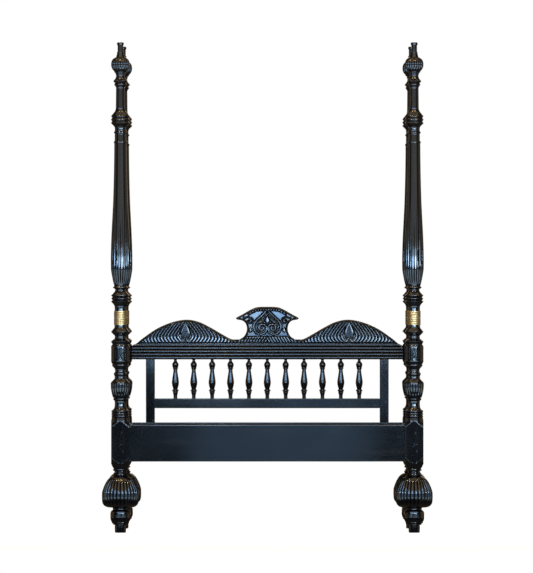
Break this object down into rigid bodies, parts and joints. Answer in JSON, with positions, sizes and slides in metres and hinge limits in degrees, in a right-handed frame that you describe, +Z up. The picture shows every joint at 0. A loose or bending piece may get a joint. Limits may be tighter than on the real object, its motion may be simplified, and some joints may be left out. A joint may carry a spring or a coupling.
{
  "type": "miniature four poster bed",
  "caption": "Dolls' house four poster bed with turned and fluted black posts that unscrew at brass ferrules, a carved headboard over a spindle gallery, and a lift-out slatted base.",
  "frame": {"origin": "on the ground, under the middle of the bed", "axes": "+Z up along the posts, +Y towards the head end, +X to the right as seen from the foot"},
  "size_m": [0.1234, 0.1738, 0.183],
  "materials": {
    "ebony": "ebonised hardwood, polished to a satin gloss",
    "brass": "turned brass with fine ribs, polished",
    "base_wood": "black stained wood, matt"
  },
  "bodies": {
    "frame": {"fluted_bun_head_left": "ebony", "lower_post_head_left": "ebony", "socket_ferrule_head_left": "brass", "fluted_bun_head_right": "ebony", "lower_post_head_right": "ebony", "socket_ferrule_head_right": "brass", "fluted_bun_foot_left": "ebony", "lower_post_foot_left": "ebony", "socket_ferrule_foot_left": "brass", "fluted_bun_foot_right": "ebony", "lower_post_foot_right": "ebony", "socket_ferrule_foot_right": "brass", "crest_board": "ebony", "top_rail": "ebony", "stile_left": "ebony", "stile_right": "ebony", "spindle_rail": "ebony", "spindle_01": "ebony", "spindle_02": "ebony", "spindle_03": "ebony", "spindle_04": "ebony", "spindle_05": "ebony", "spindle_06": "ebony", "spindle_07": "ebony", "spindle_08": "ebony", "spindle_09": "ebony", "spindle_10": "ebony", "spindle_11": "ebony", "head_rail": "ebony", "foot_rail": "ebony", "side_rail_left": "ebony", "side_rail_right": "ebony", "ledger_left": "ebony", "ledger_right": "ebony"},
    "screw_head_left": {"screw_ferrule_head_left": "brass"},
    "upper_head_left": {"upper_post_head_left": "ebony", "finial_head_left": "ebony"},
    "screw_head_right": {"screw_ferrule_head_right": "brass"},
    "upper_head_right": {"upper_post_head_right": "ebony", "finial_head_right": "ebony"},
    "screw_foot_left": {"screw_ferrule_foot_left": "brass"},
    "upper_foot_left": {"upper_post_foot_left": "ebony", "finial_foot_left": "ebony"},
    "screw_foot_right": {"screw_ferrule_foot_right": "brass"},
    "upper_foot_right": {"upper_post_foot_right": "ebony", "finial_foot_right": "ebony"},
    "slatted_base": {"slat_1": "base_wood", "slat_2": "base_wood", "slat_3": "base_wood", "slat_4": "base_wood", "slat_5": "base_wood", "slat_6": "base_wood", "slat_7": "base_wood", "slat_8": "base_wood", "slat_9": "base_wood", "batten_left": "base_wood", "batten_right": "base_wood"}
  },
  "joints": [
    {"name": "rise_head_left", "type": "slide", "parent": "frame", "child": "screw_head_left", "axis": [0, 0, 1], "range_m": [0, 0.0045]},
    {"name": "unscrew_head_left", "type": "hinge", "parent": "screw_head_left", "child": "upper_head_left", "pos_m": [-0.0548, 0.08, 0.0828], "axis": [0, 0, 1], "range_deg": [0, 1081]},
    {"name": "rise_head_right", "type": "slide", "parent": "frame", "child": "screw_head_right", "axis": [0, 0, 1], "range_m": [0, 0.0045]},
    {"name": "unscrew_head_right", "type": "hinge", "parent": "screw_head_right", "child": "upper_head_right", "pos_m": [0.0548, 0.08, 0.0828], "axis": [0, 0, 1], "range_deg": [0, 1081]},
    {"name": "rise_foot_left", "type": "slide", "parent": "frame", "child": "screw_foot_left", "axis": [0, 0, 1], "range_m": [0, 0.0045]},
    {"name": "unscrew_foot_left", "type": "hinge", "parent": "screw_foot_left", "child": "upper_foot_left", "pos_m": [-0.0548, -0.08, 0.0828], "axis": [0, 0, 1], "range_deg": [0, 1081]},
    {"name": "rise_foot_right", "type": "slide", "parent": "frame", "child": "screw_foot_right", "axis": [0, 0, 1], "range_m": [0, 0.0045]},
    {"name": "unscrew_foot_right", "type": "hinge", "parent": "screw_foot_right", "child": "upper_foot_right", "pos_m": [0.0548, -0.08, 0.0828], "axis": [0, 0, 1], "range_deg": [0, 1081]},
    {"name": "base_lift", "type": "slide", "parent": "frame", "child": "slatted_base", "axis": [0, 0, 1], "range_m": [0, 0.012]}
  ],
  "couplings": [
    {"joint": "unscrew_head_left", "follows": "rise_head_left", "rad_per_m": 4188.8},
    {"joint": "unscrew_head_right", "follows": "rise_head_right", "rad_per_m": 4188.8},
    {"joint": "unscrew_foot_left", "follows": "rise_foot_left", "rad_per_m": 4188.8},
    {"joint": "unscrew_foot_right", "follows": "rise_foot_right", "rad_per_m": 4188.8}
  ]
}
